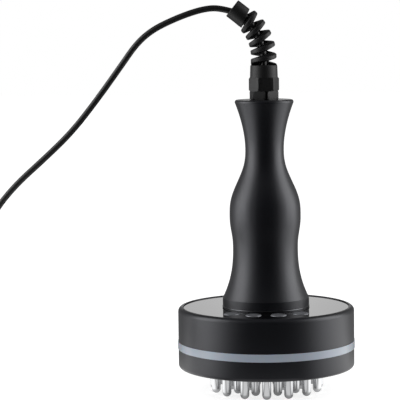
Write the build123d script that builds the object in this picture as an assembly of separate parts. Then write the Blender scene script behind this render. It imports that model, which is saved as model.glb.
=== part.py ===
from build123d import *
import os
from math import cos, degrees, pi, radians, sin, sqrt, tan

os.makedirs("parts", exist_ok=True)

# Lengths are millimetres and angles degrees. Z is up, the tooth tips stand on Z = 0,
# the head's axis is X = Y = 0 and the user's side, with the buttons, faces -Y.

# Head casing
head_radius = 50.0
tooth_reach = 13.5
lower_shell_height = 11.2
ring_height = 4.3
upper_shell_height = 19.3
wall = 2.5
rim_width = 3.2
floor_thickness = 2.5
deck_thickness = 2.5
lower_edge_round = 2.0
upper_edge_round = 2.5
ring_proud = 0.3
ring_band_depth = 3.8
ring_lip_depth = 2.7
ring_lip_reach = 2.0

# Clearances
fit_gap = 0.05
hole_gap = 0.2
part_gap = 0.3
plate_post_gap = 0.5
board_edge_gap = 2.0
light_board_edge_gap = 0.7
post_ring_gap = 2.5

# How far a cut runs past the face it opens, and how far a post runs into the wall that carries it
cut_past = 1.0
post_root = 0.5

# Smooth leads and windings: the share of a run that each arc takes up, the stations that a winding's
# arcs pass through, and the samples that its least gap to itself is measured on
arc_share = 0.45
stations_per_turn = 4
gap_samples_per_turn = 72
same_turn_share = 0.6
turn_step = 1e-4
parallel_limit = 1e-9

# Teeth
tooth_radius = 2.5
stud_radius = 1.5
outer_ring_count = 15
middle_ring_count = 10
inner_ring_count = 5
plate_margin = 3.5
plate_thickness = 3.0
heater_thickness = 0.3
heater_inset = 1.5
pad_thickness = 1.5

# Control panel and buttons
panel_recess = 0.5
panel_thickness = 2.0
button_radius = 4.5
button_proud = 0.4
button_share = 0.38
button_arcs = (-20.5, -7.0, 7.0, 20.5)
button_names = ("power", "heat", "vibration", "level")
button_travel = 0.5
button_flange_lip = 1.5
button_flange_thickness = 1.0
button_stem_radius = 2.2
button_edge_round = 0.6
switch_side = 6.0
switch_height = 3.4
switch_well_depth = 2.2
plunger_radius = 1.6
plunger_stand = 0.9

# Control board, hung under the deck
board_standoff = 5.3
board_thickness = 1.6
board_inner_radius = 20.0
board_half_angle = 52.0
board_screw_inset = 4.5
board_screw_angle = 45.0
board_front_screw_inset = 2.5
board_boss_radius = 2.8
board_boss_pilot_depth = 4.5
connector_width = 10.0
connector_share = 0.58
connector_height = 4.0
connector_face = 21.0
chip_side = 6.0
chip_inset = 4.5
chip_angle = 27.0
chip_height = 1.2
capacitor_radius = 2.0
capacitor_inset = 2.5
capacitor_angle = 16.0
capacitor_height = 4.0

# Light board, clamped between the two shells
light_board_reach = 7.0
light_board_height = 12.5
light_board_thickness = 1.6
lamp_count = 12
lamp_inset = 1.8
lamp_width = 3.0
lamp_depth = 1.4
lamp_height = 1.0

# Screws
shell_screw_angles = (30, 150, 210, 330)
shell_screw_radius = 1.5
shell_screw_length = 20.0
shell_head_radius = 2.75
shell_head_height = 2.4
shell_head_sink = 4.0
post_radius = 4.0
boss_pilot_depth = 14.0
small_screw_radius = 1.25
small_head_radius = 2.4
small_head_height = 1.8
board_screw_length = 5.5
bracket_screw_length = 7.0
base_screw_length = 10.0
handle_screw_length = 18.0

# Vibration motor, standing from the head up into the handle
weight_clearance = 1.2
weight_height = 8.0
weight_radius = 9.0
weight_hub_radius = 2.6
bracket_clearance = 1.2
bracket_wall = 2.0
bracket_floor = 2.0
bracket_ear_width = 7.0
bracket_ear_thickness = 3.0
bracket_screw_circle_radius = 19.0
bracket_screw_angles = (0, 90, 180)
deck_boss_radius = 2.5
deck_boss_height = 5.0
deck_boss_skin = 1.0
motor_radius = 12.0
motor_length = 28.0
motor_wall = 1.0
motor_nose_radius = 3.4
motor_nose_length = 1.5
motor_opening_gap = 1.0
bush_radius = 2.2
bush_length = 3.0
shaft_radius = 1.0
magnet_thickness = 2.3
magnet_length = 20.0
magnet_half_angle = 58.0
magnet_air_gap = 0.6
armature_length = 18.0
armature_slots = 3
armature_slot_width = 2.0
armature_slot_depth = 4.5
end_cap_thickness = 2.0
end_cap_spigot = 1.5
end_cap_boss_height = 1.5
motor_screw_circle_radius = 8.0
motor_screw_angles = (45, 225)
motor_screw_radius = 1.0
motor_screw_length = 3.0
motor_screw_head_radius = 1.8
motor_screw_head_height = 1.0

# Handle, a lathe shape in two halves
collar_radius = 24.5
collar_top = 53.5
flare_radius = 24.33
flare_power = 2.31
waist_height = 81.3
waist_radius = 18.41
bulge_height = 100.4
bulge_radius = 20.14
neck_height = 138.1
neck_radius = 10.88
handle_top = 165.5
crown_radius = 17.2
crown_power = 1.755
crown_edge_round = 1.3
outline_step = 4.0
base_screw_circle_radius = 18.5
base_screw_angles = (45, 135, 225, 315)
base_boss_radius = 3.0
base_boss_height = 11.2
handle_screw_heights = (72.0, 104.0)
handle_screw_offset = 9.0
handle_boss_radius = 3.2
handle_screw_seat = 10.0

# Cable gland with its moulded spiral
gland_flats = 15.0
nut_turn = 8.4
flange_turn = -19.0
gland_flange_height = 4.8
gland_slot_turn = 10.0
gland_slot_width = 1.4
gland_slot_depth = 1.4
gland_thread_radius = 6.0
gland_thread_length = 13.5
gland_bore_radius = 3.0
gland_cup_depth = 7.0
seal_radius = 4.8
seal_length = 9.5
nut_hex_height = 7.7
nut_cap_height = 6.8
nut_cap_low_radius = 7.6
nut_cap_top_radius = 7.4
nut_mouth_radius = 2.6
locknut_flats = 16.0
locknut_height = 4.5
spiral_turns = 6
spiral_strand_radius = 1.2
spiral_low_radius = 5.9
spiral_top_radius = 5.1
spiral_straight = 4.5
spiral_bend_radius = 28.5
spiral_bend_angle = 51.5
spiral_lead_in = 0.25
spiral_strand_root = 1.0
sleeve_radius = 5.6
sleeve_bore_radius = 4.0
sleeve_length = 8.5

# Lead and wires
cord_radius = 1.75
wire_radius = 0.65
wire_pitch = 1.4
wire_drop = 16.2
wire_split_height = 78.0
wire_split_run = 5.0
wire_elbow_height = 66.0
motor_wire_radius = 9.2
motor_wire_rise = 3.8
motor_wire_elbow = 3.0
wire_slot_radius = 3.3
wire_slot_circle_radius = 17.4
tie_thickness = 1.2
tie_width = 3.0
tie_head = 4.0
tie_height = 150.4
tie_gap = 0.15

# Coil of put-away cord and the plug at its end
coil_centre = (-202.0, 26.1)
coil_turns_per_layer = 3.0
coil_layers = 4
coil_pitch = 3.95
coil_inner_radius = 14.25
coil_last_layer_turns = 2.75
coil_climb_turns = 0.25
plug_grip_radius = 4.6
plug_grip_length = 19.0
plug_neck_radius = 2.7
plug_neck_length = 9.0
plug_barrel_radius = 2.75
plug_barrel_length = 9.5
plug_bore_radius = 1.05
plug_bore_depth = 8.5
plug_insulator_radius = 2.25
plug_tail_length = 22.0
plug_edge_round = 0.8
tail_run = 6.5
tail_rise_run = 8.5
tail_shift = 0.5

# Heights worked out from the sizes above
shell_floor_top = tooth_reach + floor_thickness
ring_low = tooth_reach + lower_shell_height
ring_top = ring_low + ring_height
head_top = ring_top + upper_shell_height
panel_top = head_top - panel_recess
deck_top = panel_top - panel_thickness
deck_low = deck_top - deck_thickness
plate_top = shell_floor_top + plate_thickness
heater_top = plate_top + heater_thickness
pad_top = heater_top + pad_thickness
light_board_low = tooth_reach + light_board_height
light_board_top = light_board_low + light_board_thickness
board_top = deck_low - board_standoff
board_low = board_top - board_thickness
switch_top = board_top + switch_height
plunger_top = switch_top + plunger_stand
weight_low = pad_top + weight_clearance
weight_top = weight_low + weight_height
bracket_low = weight_top + bracket_clearance
motor_low = bracket_low + bracket_floor
motor_top = motor_low + motor_length
end_cap_top = motor_top + end_cap_thickness
shaft_top = end_cap_top + end_cap_boss_height
gland_low = handle_top - gland_thread_length
gland_flange_top = handle_top + gland_flange_height
nut_hex_top = gland_flange_top + nut_hex_height
nut_cap_top = nut_hex_top + nut_cap_height
inner_wall_radius = head_radius - wall
panel_radius = head_radius - rim_width
board_outer_radius = inner_wall_radius - board_edge_gap
ring_lip_outer_radius = inner_wall_radius - part_gap
ring_lip_inner_radius = ring_lip_outer_radius - ring_lip_depth
light_board_outer_radius = ring_lip_inner_radius - light_board_edge_gap
lamp_circle_radius = light_board_outer_radius - lamp_inset
shell_screw_circle_radius = ring_lip_inner_radius - post_ring_gap - post_radius
light_board_inner_radius = shell_screw_circle_radius - light_board_reach
plate_radius = shell_screw_circle_radius - post_radius - plate_post_gap
outer_ring_radius = plate_radius - plate_margin
ring_spacing = outer_ring_radius / 3
middle_ring_radius = 2 * ring_spacing
inner_ring_radius = ring_spacing
button_circle_radius = collar_radius + button_share * (panel_radius - collar_radius)
board_screw_circle_radius = board_outer_radius - board_screw_inset
board_front_screw_radius = board_outer_radius - board_front_screw_inset
button_angles = [degrees(arc / button_circle_radius) for arc in button_arcs]
switch_inner_face = button_circle_radius * cos(radians(button_angles[2])) - switch_side / 2
connector_depth = connector_share * (switch_inner_face - connector_face)
chip_circle_radius = board_outer_radius - chip_inset
capacitor_circle_radius = board_outer_radius - capacitor_inset
motor_opening_radius = motor_radius + motor_opening_gap
bracket_radius = motor_radius + part_gap + bracket_wall
wire_level = board_top + connector_height / 2


def post(radius, low, high, x=0.0, y=0.0):
    """An upright cylinder between two heights."""
    return Pos(x, y, low) * Cylinder(radius, high - low, align=(Align.CENTER, Align.CENTER, Align.MIN))


def tube(outer, inner, low, high):
    """An upright ring of square section on the head's axis."""
    return post(outer, low, high) - post(inner, low - cut_past, high + cut_past)


def around(radius, angle):
    """Plan position at an angle from +X."""
    return radius * cos(radians(angle)), radius * sin(radians(angle))


def from_front(radius, angle):
    """Plan position at an angle from the front, -Y, positive towards +X."""
    return radius * sin(radians(angle)), -radius * cos(radians(angle))


def screw(shank_radius, length, head_radius, head_height, x, y, seat):
    """A screw whose shank points up and whose head's underside is at the seat height."""
    return post(shank_radius, seat, seat + length, x, y) + post(head_radius, seat - head_height, seat, x, y)


def hexagon(flats, low, high, turn):
    """A six-sided prism given by its width across flats."""
    outline = RegularPolygon(flats / sqrt(3), 6)
    return Pos(0, 0, low) * Rot(0, 0, turn) * extrude(outline, amount=high - low)


def route_tube(points, radius, name):
    """A round lead along straight runs with the largest arcs that the runs allow."""
    stops = [Vector(*point) for point in points]
    arcs = []
    for before, corner, after in zip(stops, stops[1:], stops[2:]):
        arriving = corner - before
        leaving = after - corner
        turn = radians(arriving.get_angle(leaving))
        arcs.append(arc_share * min(arriving.length, leaving.length) / tan(turn / 2))
    path = FilletPolyline(*stops, radius=arcs) if arcs else Line(*stops)
    solid = sweep(Plane(stops[0], z_dir=stops[1] - stops[0]) * Circle(radius), path=path)
    expected = pi * radius ** 2 * path.length
    print(name, "length", round(path.length, 1), "arc radii", [round(arc, 1) for arc in arcs],
          "volume over section times length", round(solid.volume / expected, 4))
    return solid


def biarc(start, start_way, end, end_way):
    """Two arcs that meet smoothly and leave both ends along the given directions."""
    chord = end - start
    both = start_way + end_way
    square = both.dot(both) - 4
    linear = -2 * chord.dot(both)
    constant = chord.dot(chord)
    if abs(square) < parallel_limit:
        reach = -constant / linear
    else:
        reach = (-linear - sqrt(linear ** 2 - 4 * square * constant)) / (2 * square)
    first_corner = start + start_way * reach
    second_corner = end - end_way * reach
    middle = (first_corner + second_corner) * 0.5
    arcs = []
    for near, corner, far in ((start, first_corner, middle), (middle, second_corner, end)):
        inward = (near + far) * 0.5 - corner
        share = inward.length / reach
        sagitta = reach * (1 - sqrt(1 - share ** 2)) / share
        arcs.append(Edge.make_three_point_arc(near, corner + inward.normalized() * sagitta, far))
    return arcs


def way_at(place, turn):
    """Direction of a winding's centre line after a number of turns."""
    return (place(turn + turn_step) - place(turn - turn_step)).normalized()


def wound_path(place, stations, first_way=None, last_way=None):
    """A smooth wire through the stations of a winding, two arcs between each pair."""
    ways = [way_at(place, turn) for turn in stations]
    if first_way:
        ways[0] = first_way
    if last_way:
        ways[-1] = last_way
    stops = [place(turn) for turn in stations]
    edges = []
    for index in range(len(stops) - 1):
        edges += biarc(stops[index], ways[index], stops[index + 1], ways[index + 1])
    return edges


def least_self_gap(place, low, high, diameter, name):
    """Print the least distance between turns of a winding, measured on points of its centre line."""
    count = int((high - low) * gap_samples_per_turn)
    points = [place(low + (high - low) * index / count) for index in range(count + 1)]
    skip = int(gap_samples_per_turn * same_turn_share)
    least = min((points[i] - points[j]).length for i in range(count) for j in range(i + skip, count))
    print(name, "least gap between turns", round(least - diameter, 2))


parts = {}


# Teeth
def ring_places(radius, count, first):
    """Evenly spaced places on a ring, the first one a share of a step round from the front."""
    return [from_front(radius, 360 * (i + first) / count) for i in range(count)]


tooth_places = {
    "teeth_outer": ring_places(outer_ring_radius, outer_ring_count, 0),
    "teeth_middle": ring_places(middle_ring_radius, middle_ring_count, 0.5),
    "teeth_inner": ring_places(inner_ring_radius, inner_ring_count, 0),
    "tooth_center": [(0.0, 0.0)],
}
all_teeth = [place for places in tooth_places.values() for place in places]


def tooth(x, y):
    """A round-ended steel tooth with a shoulder under the plate and a stud through it."""
    body = post(tooth_radius, tooth_radius, shell_floor_top, x, y)
    tip = Pos(x, y, tooth_radius) * Sphere(tooth_radius)
    return body + tip + post(stud_radius, shell_floor_top, plate_top, x, y)


for node, places in tooth_places.items():
    parts[node] = [tooth(x, y) for x, y in places]


# Tooth plate, heater and pad
def tooth_plate():
    """Aluminium disc that carries the teeth and spreads the heat."""
    low = shell_floor_top - cut_past
    high = plate_top + cut_past
    plate = post(plate_radius, shell_floor_top, plate_top)
    return plate - [post(stud_radius + fit_gap, low, high, x, y) for x, y in all_teeth]


parts["tooth_plate"] = tooth_plate()
parts["heater_film"] = post(plate_radius - heater_inset, plate_top, heater_top)
parts["insulation_pad"] = post(plate_radius - heater_inset, heater_top, pad_top)


# Lower shell
shell_screw_places = [around(shell_screw_circle_radius, angle) for angle in shell_screw_angles]
shell_head_seat = tooth_reach + shell_head_sink


def lower_shell():
    """Dish with a floor pierced for the teeth and four screw posts."""
    dish = post(head_radius, tooth_reach, ring_low)
    dish = fillet(dish.edges().sort_by(Axis.Z)[0], lower_edge_round)
    dish -= post(inner_wall_radius, shell_floor_top, ring_low + cut_past)
    for x, y in shell_screw_places:
        dish += post(post_radius, shell_floor_top - post_root, light_board_low, x, y)
    for x, y in shell_screw_places:
        dish -= post(shell_screw_radius + hole_gap, tooth_reach, light_board_low + cut_past, x, y)
        dish -= post(shell_head_radius + part_gap, tooth_reach - cut_past, shell_head_seat, x, y)
    for x, y in all_teeth:
        dish -= post(tooth_radius + hole_gap, tooth_reach - cut_past, shell_floor_top + cut_past, x, y)
    return dish


parts["lower_shell"] = lower_shell()
parts["shell_screws"] = [
    screw(shell_screw_radius, shell_screw_length, shell_head_radius, shell_head_height, x, y, shell_head_seat)
    for x, y in shell_screw_places]


# Light ring, light board and lamps
def light_ring():
    """Translucent band with a lip that centres it inside both shells."""
    outer = head_radius + ring_proud
    band = tube(outer, outer - ring_band_depth, ring_low, ring_top)
    lip_low = ring_low - ring_lip_reach
    lip_high = ring_top + ring_lip_reach
    return band + tube(ring_lip_outer_radius, ring_lip_inner_radius, lip_low, lip_high)


def light_board():
    """Ring board held by the shell screws."""
    board = tube(light_board_outer_radius, light_board_inner_radius, light_board_low, light_board_top)
    low = light_board_low - cut_past
    high = light_board_top + cut_past
    return board - [post(shell_screw_radius + hole_gap, low, high, x, y) for x, y in shell_screw_places]


parts["light_ring"] = light_ring()
parts["light_board"] = light_board()
parts["lamps"] = [
    Rot(0, 0, 360 * (i + 0.5) / lamp_count)
    * Pos(lamp_circle_radius, 0, light_board_top)
    * Box(lamp_depth, lamp_width, lamp_height, align=(Align.CENTER, Align.CENTER, Align.MIN))
    for i in range(lamp_count)]


# Upper shell
button_places = [from_front(button_circle_radius, angle) for angle in button_angles]
board_screw_places = [from_front(board_screw_circle_radius, -board_screw_angle),
                      from_front(board_front_screw_radius, 0),
                      from_front(board_screw_circle_radius, board_screw_angle)]
bracket_screw_places = [around(bracket_screw_circle_radius, angle) for angle in bracket_screw_angles]
base_screw_places = [around(base_screw_circle_radius, angle) for angle in base_screw_angles]
flange_radius = button_radius + button_flange_lip


def upper_shell():
    """Ring wall with a deck that carries the panel, the handle, the motor bracket and the board."""
    shell = post(head_radius, ring_top, head_top)
    shell = fillet(shell.edges().sort_by(Axis.Z)[-1], upper_edge_round)
    shell -= post(panel_radius + part_gap, deck_top, head_top + cut_past)
    shell -= post(inner_wall_radius, ring_top - cut_past, deck_low)
    for x, y in shell_screw_places:
        shell += post(post_radius, light_board_top, deck_low + post_root, x, y)
        pilot_top = light_board_top + boss_pilot_depth
        shell -= post(shell_screw_radius + fit_gap, light_board_top - cut_past, pilot_top, x, y)
    for x, y in board_screw_places:
        shell += post(board_boss_radius, board_top, deck_low + post_root, x, y)
        pilot_top = board_top + board_boss_pilot_depth
        shell -= post(small_screw_radius + fit_gap, board_top - cut_past, pilot_top, x, y)
    for x, y in bracket_screw_places:
        boss_top = deck_top + deck_boss_height
        shell += post(deck_boss_radius, deck_top - post_root, boss_top, x, y)
        shell -= post(small_screw_radius + fit_gap, deck_low - cut_past, boss_top - deck_boss_skin, x, y)
    for x, y in base_screw_places:
        shell -= post(small_screw_radius + hole_gap, deck_low - cut_past, deck_top + cut_past, x, y)
    for x, y in button_places:
        shell -= post(flange_radius + part_gap, deck_low - cut_past, deck_top + cut_past, x, y)
    shell -= post(motor_opening_radius, deck_low - cut_past, deck_top + cut_past)
    shell -= post(wire_slot_radius, deck_low - cut_past, deck_top + cut_past, 0, -wire_slot_circle_radius)
    return shell


parts["upper_shell"] = upper_shell()


# Control panel and buttons
def control_panel():
    """Glossy disc bonded to the deck, open for the handle and the buttons."""
    panel = tube(panel_radius, collar_radius + hole_gap, deck_top, panel_top)
    low = deck_top - cut_past
    high = panel_top + cut_past
    return panel - [post(button_radius + part_gap, low, high, x, y) for x, y in button_places]


def button(x, y):
    """Round cap with a retaining flange under the panel and a stem down to its switch."""
    cap = post(button_radius, deck_top, panel_top + button_proud, x, y)
    cap = fillet(cap.edges().sort_by(Axis.Z)[-1], button_edge_round)
    flange = post(flange_radius, deck_top - button_flange_thickness, deck_top, x, y)
    stem = post(button_stem_radius, plunger_top, deck_top - button_flange_thickness / 2, x, y)
    return cap + flange + stem


def plunger(x, y):
    """The switch's own push pin, which moves with the button."""
    low = switch_top - switch_well_depth + button_travel + hole_gap
    return post(plunger_radius, low, plunger_top, x, y)


def switch(x, y):
    """Tact switch housing with an open well for its push pin."""
    body = Pos(x, y, board_top) * Box(switch_side, switch_side, switch_height,
                                      align=(Align.CENTER, Align.CENTER, Align.MIN))
    return body - post(plunger_radius + part_gap, switch_top - switch_well_depth, switch_top + cut_past, x, y)


parts["control_panel"] = control_panel()
for name, (x, y) in zip(button_names, button_places):
    parts[name + "_button"] = button(x, y)
    parts[name + "_plunger"] = plunger(x, y)
parts["tact_switches"] = [switch(x, y) for x, y in button_places]


# Control board
def control_board():
    """Sector of a ring under the front of the deck."""
    ring = tube(board_outer_radius, board_inner_radius, board_low, board_top)
    reach = 2 * board_outer_radius
    left = from_front(reach, -board_half_angle)
    right = from_front(reach, board_half_angle)
    outline = make_face(Polyline((0, 0), left, (0, -2 * reach), right, (0, 0)))
    board = ring & (Pos(0, 0, board_low) * extrude(outline, amount=board_thickness))
    low = board_low - cut_past
    high = board_top + cut_past
    return board - [post(small_screw_radius + hole_gap, low, high, x, y) for x, y in board_screw_places]


def board_block(width, depth, height, x, y):
    """A rectangular component on the board's upper face."""
    return Pos(x, y, board_top) * Box(width, depth, height, align=(Align.CENTER, Align.CENTER, Align.MIN))


parts["control_board"] = control_board()
parts["board_connector"] = board_block(connector_width, connector_depth, connector_height,
                                       0, -connector_face - connector_depth / 2)
parts["driver_chips"] = [
    Rot(0, 0, angle) * board_block(chip_side, chip_side, chip_height, 0, -chip_circle_radius)
    for angle in (-chip_angle, chip_angle)]
capacitor_places = [from_front(capacitor_circle_radius, side * capacitor_angle) for side in (-1, 1)]
parts["board_capacitors"] = [
    post(capacitor_radius, board_top, board_top + capacitor_height, x, y) for x, y in capacitor_places]
parts["board_screws"] = [
    screw(small_screw_radius, board_screw_length, small_head_radius, small_head_height, x, y, board_low)
    for x, y in board_screw_places]


# Motor bracket
motor_screw_places = [around(motor_screw_circle_radius, angle) for angle in motor_screw_angles]
motor_screw_seat = bracket_low + motor_screw_head_height


def motor_bracket():
    """Cup under the deck with three screwed ears."""
    inside = motor_radius + part_gap
    cup = tube(bracket_radius, inside, bracket_low, deck_low) + post(bracket_radius, bracket_low, motor_low)
    for angle in bracket_screw_angles:
        x, y = around(bracket_screw_circle_radius, angle)
        arm_length = bracket_screw_circle_radius - inside - bracket_wall / 2
        middle = inside + bracket_wall / 2 + arm_length / 2
        arm = Box(arm_length, bracket_ear_width, bracket_ear_thickness,
                  align=(Align.CENTER, Align.CENTER, Align.MAX))
        cup += Rot(0, 0, angle) * Pos(middle, 0, deck_low) * arm
        cup += post(bracket_ear_width / 2, deck_low - bracket_ear_thickness, deck_low, x, y)
        cup -= post(small_screw_radius + hole_gap, bracket_low, deck_low + cut_past, x, y)
    cup -= post(motor_nose_radius + part_gap, bracket_low - cut_past, motor_low + cut_past)
    for x, y in motor_screw_places:
        cup -= post(motor_screw_radius + hole_gap, bracket_low - cut_past, motor_low + cut_past, x, y)
        cup -= post(motor_screw_head_radius + part_gap, bracket_low - cut_past, motor_screw_seat, x, y)
    return cup


parts["motor_bracket"] = motor_bracket()
parts["bracket_screws"] = [
    screw(small_screw_radius, bracket_screw_length, small_head_radius, small_head_height, x, y,
          deck_low - bracket_ear_thickness)
    for x, y in bracket_screw_places]
parts["motor_screws"] = [
    screw(motor_screw_radius, motor_screw_length - motor_screw_head_height, motor_screw_head_radius,
          motor_screw_head_height, x, y, motor_screw_seat)
    for x, y in motor_screw_places]


# Motor
def motor_can():
    """Drawn steel can, open at the top, with a nose for the front bush."""
    can = post(motor_radius, motor_low, motor_top)
    can -= post(motor_radius - motor_wall, motor_low + motor_wall, motor_top + cut_past)
    can += post(motor_nose_radius, motor_low - motor_nose_length, motor_low)
    can -= post(bush_radius, motor_low - motor_nose_length - cut_past, motor_low + motor_wall + cut_past)
    floor_low = motor_low - cut_past
    floor_high = motor_low + motor_wall + cut_past
    hole = motor_screw_radius + fit_gap
    return can - [post(hole, floor_low, floor_high, x, y) for x, y in motor_screw_places]


def motor_end_cap():
    """Moulded cap with a spigot in the can and a boss for the rear bush."""
    cap = post(motor_radius, motor_top, end_cap_top)
    cap += post(motor_radius - motor_wall - fit_gap, motor_top - end_cap_spigot, motor_top)
    cap += post(motor_nose_radius, end_cap_top, shaft_top)
    return cap - post(bush_radius, motor_top - end_cap_spigot - cut_past, shaft_top + cut_past)


def motor_magnet(side):
    """Arc magnet inside the can."""
    outer = motor_radius - motor_wall - fit_gap
    low = motor_low + (motor_length - magnet_length) / 2
    ring = tube(outer, outer - magnet_thickness, low, low + magnet_length)
    reach = 2 * motor_radius
    upper = around(reach, side + magnet_half_angle)
    lower = around(reach, side - magnet_half_angle)
    ahead = around(2 * reach, side)
    outline = make_face(Polyline((0, 0), lower, ahead, upper, (0, 0)))
    return ring & (Pos(0, 0, low) * extrude(outline, amount=magnet_length))


def armature():
    """Wound core with three slots, on the shaft."""
    radius = motor_radius - motor_wall - fit_gap - magnet_thickness - magnet_air_gap
    low = motor_low + (motor_length - armature_length) / 2
    core = tube(radius, shaft_radius, low, low + armature_length)
    slot = Pos(radius - armature_slot_depth, 0, low - cut_past) * Box(
        armature_slot_depth + 2 * cut_past, armature_slot_width, armature_length + 2 * cut_past,
        align=(Align.MIN, Align.CENTER, Align.MIN))
    for i in range(armature_slots):
        core -= Rot(0, 0, 360 * i / armature_slots) * slot
    return core


def eccentric_weight():
    """Half disc with a hub, which shakes the head as it turns."""
    reach = weight_radius + cut_past
    half = Box(2 * reach, reach, weight_height, align=(Align.CENTER, Align.MIN, Align.MIN))
    weight = post(weight_radius, weight_low, weight_top) & (Pos(0, 0, weight_low) * half)
    weight += post(weight_hub_radius, weight_low, weight_top)
    return weight - post(shaft_radius, weight_low - cut_past, weight_top + cut_past)


def bush(low):
    """Plain bearing with a running fit on the shaft."""
    return tube(bush_radius, shaft_radius + fit_gap, low, low + bush_length)


parts["motor_can"] = motor_can()
parts["motor_end_cap"] = motor_end_cap()
parts["motor_magnets"] = [motor_magnet(0), motor_magnet(180)]
parts["motor_bushes"] = [bush(motor_low - motor_nose_length), bush(shaft_top - bush_length)]
parts["armature"] = armature()
parts["motor_shaft"] = post(shaft_radius, weight_low, shaft_top)
parts["eccentric_weight"] = eccentric_weight()


# Handle
def swell(start, end, share):
    """A change from one radius to another that starts and ends without a slope."""
    return start + (end - start) * share ** 3 * (10 - 15 * share + 6 * share ** 2)


def grip_radius(height):
    """The handle's outside radius: flare, waist, bulge, neck and crown."""
    if height < waist_height:
        share = (waist_height - height) / (waist_height - collar_top)
        return waist_radius + (flare_radius - waist_radius) * share ** flare_power
    if height < bulge_height:
        return swell(waist_radius, bulge_radius, (height - waist_height) / (bulge_height - waist_height))
    if height < neck_height:
        return swell(bulge_radius, neck_radius, (height - bulge_height) / (neck_height - bulge_height))
    share = (height - neck_height) / (handle_top - neck_height)
    return neck_radius + (crown_radius - neck_radius) * share ** crown_power


def lathe(low, foot_radius, top, inset):
    """Solid of revolution under the grip outline, drawn in by an inset."""
    steps = round((top - collar_top) / outline_step)
    heights = [collar_top + (top - collar_top) * i / steps for i in range(steps + 1)]
    curve = Spline(*[(grip_radius(height) - inset, 0, height) for height in heights])
    outline = Wire([
        *Polyline((0, 0, top), (0, 0, low), (foot_radius, 0, low), (foot_radius, 0, collar_top),
                  (flare_radius - inset, 0, collar_top)).edges(),
        curve.edge(),
        Line((grip_radius(top) - inset, 0, top), (0, 0, top)).edge()])
    return revolve(Face(outline), Axis.Z)


def handle_shell():
    """The hollow handle with its bosses, before it is parted into halves."""
    outside = lathe(deck_top, collar_radius, handle_top, 0)
    outside = fillet(outside.edges().filter_by(GeomType.CIRCLE).sort_by(Axis.Z)[-1], crown_edge_round)
    shell = outside - lathe(deck_top - cut_past, collar_radius - wall, handle_top - wall, wall)
    for x, y in base_screw_places:
        shell += post(base_boss_radius, deck_top, deck_top + base_boss_height, x, y)
        shell -= post(small_screw_radius + fit_gap, deck_top - cut_past, deck_top + base_screw_length, x, y)
    for height in handle_screw_heights:
        across = Pos(handle_screw_offset, 0, height) * Rot(90, 0, 0)
        shell += (across * Cylinder(handle_boss_radius, 2 * collar_radius)) & outside
        shank = across * Cylinder(small_screw_radius + fit_gap, 2 * handle_screw_seat)
        sink = Pos(handle_screw_offset, handle_screw_seat, height) * Rot(-90, 0, 0) * Cylinder(
            small_head_radius + hole_gap, collar_radius, align=(Align.CENTER, Align.CENTER, Align.MIN))
        shell -= shank
        shell -= sink
    return shell - post(gland_thread_radius + hole_gap, handle_top - wall - cut_past, handle_top + cut_past)


def half_space(side):
    """A block on one side of the handle's parting plane."""
    return Pos(0, side * head_radius, handle_top / 2) * Box(2 * head_radius, 2 * head_radius, 2 * handle_top)


whole_handle = handle_shell()
parts["handle_front"] = whole_handle & half_space(-1)
parts["handle_back"] = whole_handle & half_space(1)
parts["handle_screws"] = [
    Pos(handle_screw_offset, handle_screw_seat, height) * Rot(90, 0, 0)
    * screw(small_screw_radius, handle_screw_length, small_head_radius, small_head_height, 0, 0, 0)
    for height in handle_screw_heights]
parts["base_screws"] = [
    screw(small_screw_radius, base_screw_length, small_head_radius, small_head_height, x, y, deck_low)
    for x, y in base_screw_places]


# Cable gland
cup_low = nut_hex_top - gland_cup_depth


def gland_body():
    """Hexagonal flange between a lower thread in the handle and a cupped upper thread in the nut."""
    body = hexagon(gland_flats, handle_top, gland_flange_top, flange_turn)
    body += post(gland_thread_radius, gland_low, nut_hex_top)
    slot = Pos(0, -gland_flats / 2, handle_top - cut_past) * Box(
        gland_slot_width, 2 * gland_slot_depth, gland_flange_height + 2 * cut_past,
        align=(Align.CENTER, Align.CENTER, Align.MIN))
    body -= Rot(0, 0, gland_slot_turn) * slot
    body -= post(gland_bore_radius, gland_low - cut_past, nut_hex_top + cut_past)
    return body - post(seal_radius + fit_gap, cup_low, nut_hex_top + cut_past)


def spiral_place(turn):
    """Point on the spiral's centre line after a number of turns."""
    straight = spiral_straight
    bend = radians(spiral_bend_angle) * spiral_bend_radius
    along = (straight + bend) * turn / spiral_turns
    lean = max(0.0, along - straight) / spiral_bend_radius
    x = -spiral_bend_radius * (1 - cos(lean))
    z = nut_cap_top + min(along, straight) + spiral_bend_radius * sin(lean)
    radius = spiral_low_radius + (spiral_top_radius - spiral_low_radius) * turn / spiral_turns
    angle = 2 * pi * turn
    outward = Vector(cos(lean), 0, sin(lean)) * cos(angle) + Vector(0, 1, 0) * sin(angle)
    return Vector(x, 0, z) + outward * radius


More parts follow.
